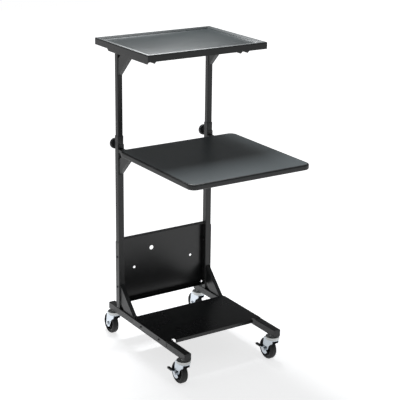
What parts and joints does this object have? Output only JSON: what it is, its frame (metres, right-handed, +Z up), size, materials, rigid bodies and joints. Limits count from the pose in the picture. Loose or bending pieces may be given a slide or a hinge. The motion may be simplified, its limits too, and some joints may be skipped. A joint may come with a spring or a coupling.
{
  "type": "projector cart",
  "caption": "Mobile projector cart: height-adjustable steel tray on two telescoping posts, fixed laptop shelf, bottom shelf, back panel and swivel casters.",
  "frame": {"origin": "on the floor, under the middle of the cart's bounding box", "axes": "+Z up, -Y towards the front, where the laptop shelf reaches forward, +X to the right seen from the front"},
  "size_m": [0.463, 0.6474, 1.087],
  "materials": {
    "frame_black": "satin black powder coat",
    "panel_black": "smooth semi-gloss black powder coat",
    "tray_black": "satin black powder coat",
    "board_laminate": "dark melamine laminate, satin",
    "edging_black": "satin moulded edging",
    "plastic_black": "satin moulded plastic",
    "knob_black": "fine grained moulded plastic",
    "fastener_black": "black oxide",
    "fastener_zinc": "bright zinc",
    "fork_zinc": "blue passivated zinc",
    "race_zinc": "greased zinc",
    "wheel_core": "satin moulded plastic",
    "wheel_tyre": "smooth rubber",
    "pad_nylon": "natural nylon"
  },
  "bodies": {
    "base_frame": {"leg_left": "frame_black", "leg_right": "frame_black", "leg_end_caps": "plastic_black", "lower_post_left": "frame_black", "lower_post_right": "frame_black", "post_collar_left": "plastic_black", "post_collar_right": "plastic_black", "base_gusset_left": "frame_black", "base_gusset_right": "frame_black", "back_panel": "panel_black", "panel_bolts": "fastener_black", "panel_nuts": "fastener_black", "bottom_shelf": "panel_black", "bottom_shelf_screws": "fastener_black", "laptop_shelf": "board_laminate", "shelf_edging": "edging_black", "shelf_arm_left": "frame_black", "shelf_arm_right": "frame_black", "shelf_gusset_left": "frame_black", "shelf_gusset_right": "frame_black", "shelf_screws": "fastener_black", "knob_nuts": "frame_black", "stem_nuts": "fastener_zinc", "caster_stems": "race_zinc", "swivel_balls": "race_zinc"},
    "upper_frame": {"upper_post_left": "frame_black", "upper_post_right": "frame_black", "glide_plugs": "plastic_black", "tray_arm_left": "frame_black", "tray_arm_right": "frame_black", "tray_gusset_left": "frame_black", "tray_gusset_right": "frame_black", "tray": "tray_black", "tray_nuts": "fastener_zinc"},
    "pad_left": {"pressure_pad_left": "pad_nylon"},
    "pad_right": {"pressure_pad_right": "pad_nylon"},
    "knob_left": {"clamp_knob_left": "knob_black", "knob_stud_left": "fastener_zinc"},
    "knob_right": {"clamp_knob_right": "knob_black", "knob_stud_right": "fastener_zinc"},
    "caster_front_left": {"fork_front_left": "fork_zinc", "axle_front_left": "fastener_zinc"},
    "caster_front_right": {"fork_front_right": "fork_zinc", "axle_front_right": "fastener_zinc"},
    "caster_rear_left": {"fork_rear_left": "fork_zinc", "axle_rear_left": "fastener_zinc"},
    "caster_rear_right": {"fork_rear_right": "fork_zinc", "axle_rear_right": "fastener_zinc"},
    "roller_front_left": {"wheel_front_left": "wheel_core", "tyre_front_left": "wheel_tyre"},
    "roller_front_right": {"wheel_front_right": "wheel_core", "tyre_front_right": "wheel_tyre"},
    "roller_rear_left": {"wheel_rear_left": "wheel_core", "tyre_rear_left": "wheel_tyre"},
    "roller_rear_right": {"wheel_rear_right": "wheel_core", "tyre_rear_right": "wheel_tyre"},
    "brake_left": {"brake_lever_left": "fork_zinc", "brake_pedal_left": "plastic_black"},
    "brake_right": {"brake_lever_right": "fork_zinc", "brake_pedal_right": "plastic_black"}
  },
  "joints": [
    {"name": "tray_height", "type": "slide", "parent": "base_frame", "child": "upper_frame", "axis": [0, 0, 1], "range_m": [-0.2, 0.075]},
    {"name": "clamp_screw_left", "type": "slide", "parent": "base_frame", "child": "pad_left", "axis": [0, 1, 0], "range_m": [0, 0.0025]},
    {"name": "clamp_screw_right", "type": "slide", "parent": "base_frame", "child": "pad_right", "axis": [0, 1, 0], "range_m": [0, 0.0025]},
    {"name": "knob_turn_left", "type": "hinge", "parent": "pad_left", "child": "knob_left", "pos_m": [-0.181, 0.24, 0.724], "axis": [0, 1, 0], "range_deg": [0, 720]},
    {"name": "knob_turn_right", "type": "hinge", "parent": "pad_right", "child": "knob_right", "pos_m": [0.181, 0.24, 0.724], "axis": [0, 1, 0], "range_deg": [0, 720]},
    {"name": "swivel_front_left", "type": "hinge", "parent": "base_frame", "child": "caster_front_left", "pos_m": [-0.181, -0.20875, 0.0985], "axis": [0, 0, 1], "continuous": true},
    {"name": "swivel_front_right", "type": "hinge", "parent": "base_frame", "child": "caster_front_right", "pos_m": [0.181, -0.20875, 0.0985], "axis": [0, 0, 1], "continuous": true},
    {"name": "swivel_rear_left", "type": "hinge", "parent": "base_frame", "child": "caster_rear_left", "pos_m": [-0.181, 0.26225, 0.0985], "axis": [0, 0, 1], "continuous": true},
    {"name": "swivel_rear_right", "type": "hinge", "parent": "base_frame", "child": "caster_rear_right", "pos_m": [0.181, 0.26225, 0.0985], "axis": [0, 0, 1], "continuous": true},
    {"name": "roll_front_left", "type": "hinge", "parent": "caster_front_left", "child": "roller_front_left", "pos_m": [-0.181, -0.18525, 0.038], "axis": [1, 0, 0], "continuous": true},
    {"name": "roll_front_right", "type": "hinge", "parent": "caster_front_right", "child": "roller_front_right", "pos_m": [0.181, -0.18525, 0.038], "axis": [1, 0, 0], "continuous": true},
    {"name": "roll_rear_left", "type": "hinge", "parent": "caster_rear_left", "child": "roller_rear_left", "pos_m": [-0.181, 0.28575, 0.038], "axis": [1, 0, 0], "continuous": true},
    {"name": "roll_rear_right", "type": "hinge", "parent": "caster_rear_right", "child": "roller_rear_right", "pos_m": [0.181, 0.28575, 0.038], "axis": [1, 0, 0], "continuous": true},
    {"name": "brake_tilt_left", "type": "hinge", "parent": "caster_front_left", "child": "brake_left", "pos_m": [-0.181, -0.18525, 0.038], "axis": [1, 0, 0], "range_deg": [-20, 0]},
    {"name": "brake_tilt_right", "type": "hinge", "parent": "caster_front_right", "child": "brake_right", "pos_m": [0.181, -0.18525, 0.038], "axis": [1, 0, 0], "range_deg": [-20, 0]}
  ],
  "couplings": [
    {"joint": "clamp_screw_left", "follows": "knob_turn_left", "m_per_rad": 0.0001989},
    {"joint": "clamp_screw_right", "follows": "knob_turn_right", "m_per_rad": 0.0001989}
  ]
}
